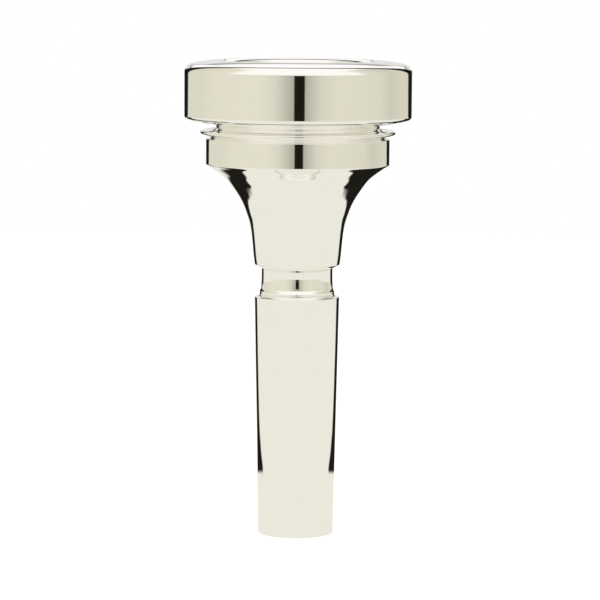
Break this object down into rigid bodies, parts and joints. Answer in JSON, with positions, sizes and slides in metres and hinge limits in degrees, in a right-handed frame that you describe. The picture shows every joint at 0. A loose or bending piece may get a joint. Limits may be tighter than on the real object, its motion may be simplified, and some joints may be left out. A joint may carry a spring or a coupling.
{
  "type": "trombone mouthpiece",
  "caption": "Silver-plated modular cup mouthpiece with a screw rim, flared bowl and tapered shank that plugs into a large-shank trombone receiver.",
  "frame": {"origin": "centre of the shank's end face, on the surface it stands on", "axes": "+Z along the bore axis, from the shank's end up to the rim; +X and +Y are across it"},
  "size_m": [0.0396, 0.0394, 0.083],
  "materials": {
    "rim_silver": "silver plated, mirror polished",
    "cup_silver": "silver plated, mirror polished",
    "shank_silver": "silver plated, mirror polished",
    "seal_rubber": "matt"
  },
  "bodies": {
    "shank": {"shank": "shank_silver"},
    "shank_seal": {"shank_seal": "seal_rubber"},
    "cup": {"cup": "cup_silver"},
    "rim_seal": {"rim_seal": "seal_rubber"},
    "rim": {"rim": "rim_silver"}
  },
  "joints": [
    {"name": "cup_lift", "type": "slide", "parent": "shank", "child": "shank_seal", "axis": [0, 0, 1], "range_m": [0, 0.00421]},
    {"name": "cup_turn", "type": "hinge", "parent": "shank_seal", "child": "cup", "pos_m": [0, 0, 0.0469], "axis": [0, 0, 1], "range_deg": [0, 1512]},
    {"name": "rim_lift", "type": "slide", "parent": "cup", "child": "rim_seal", "axis": [0, 0, 1], "range_m": [0, 0.00441]},
    {"name": "rim_turn", "type": "hinge", "parent": "rim_seal", "child": "rim", "pos_m": [0, 0, 0.0716], "axis": [0, 0, 1], "range_deg": [0, 1584]}
  ],
  "couplings": [
    {"joint": "cup_lift", "follows": "cup_turn", "m_per_rad": 0.00015915},
    {"joint": "rim_lift", "follows": "rim_turn", "m_per_rad": 0.00015915}
  ]
}
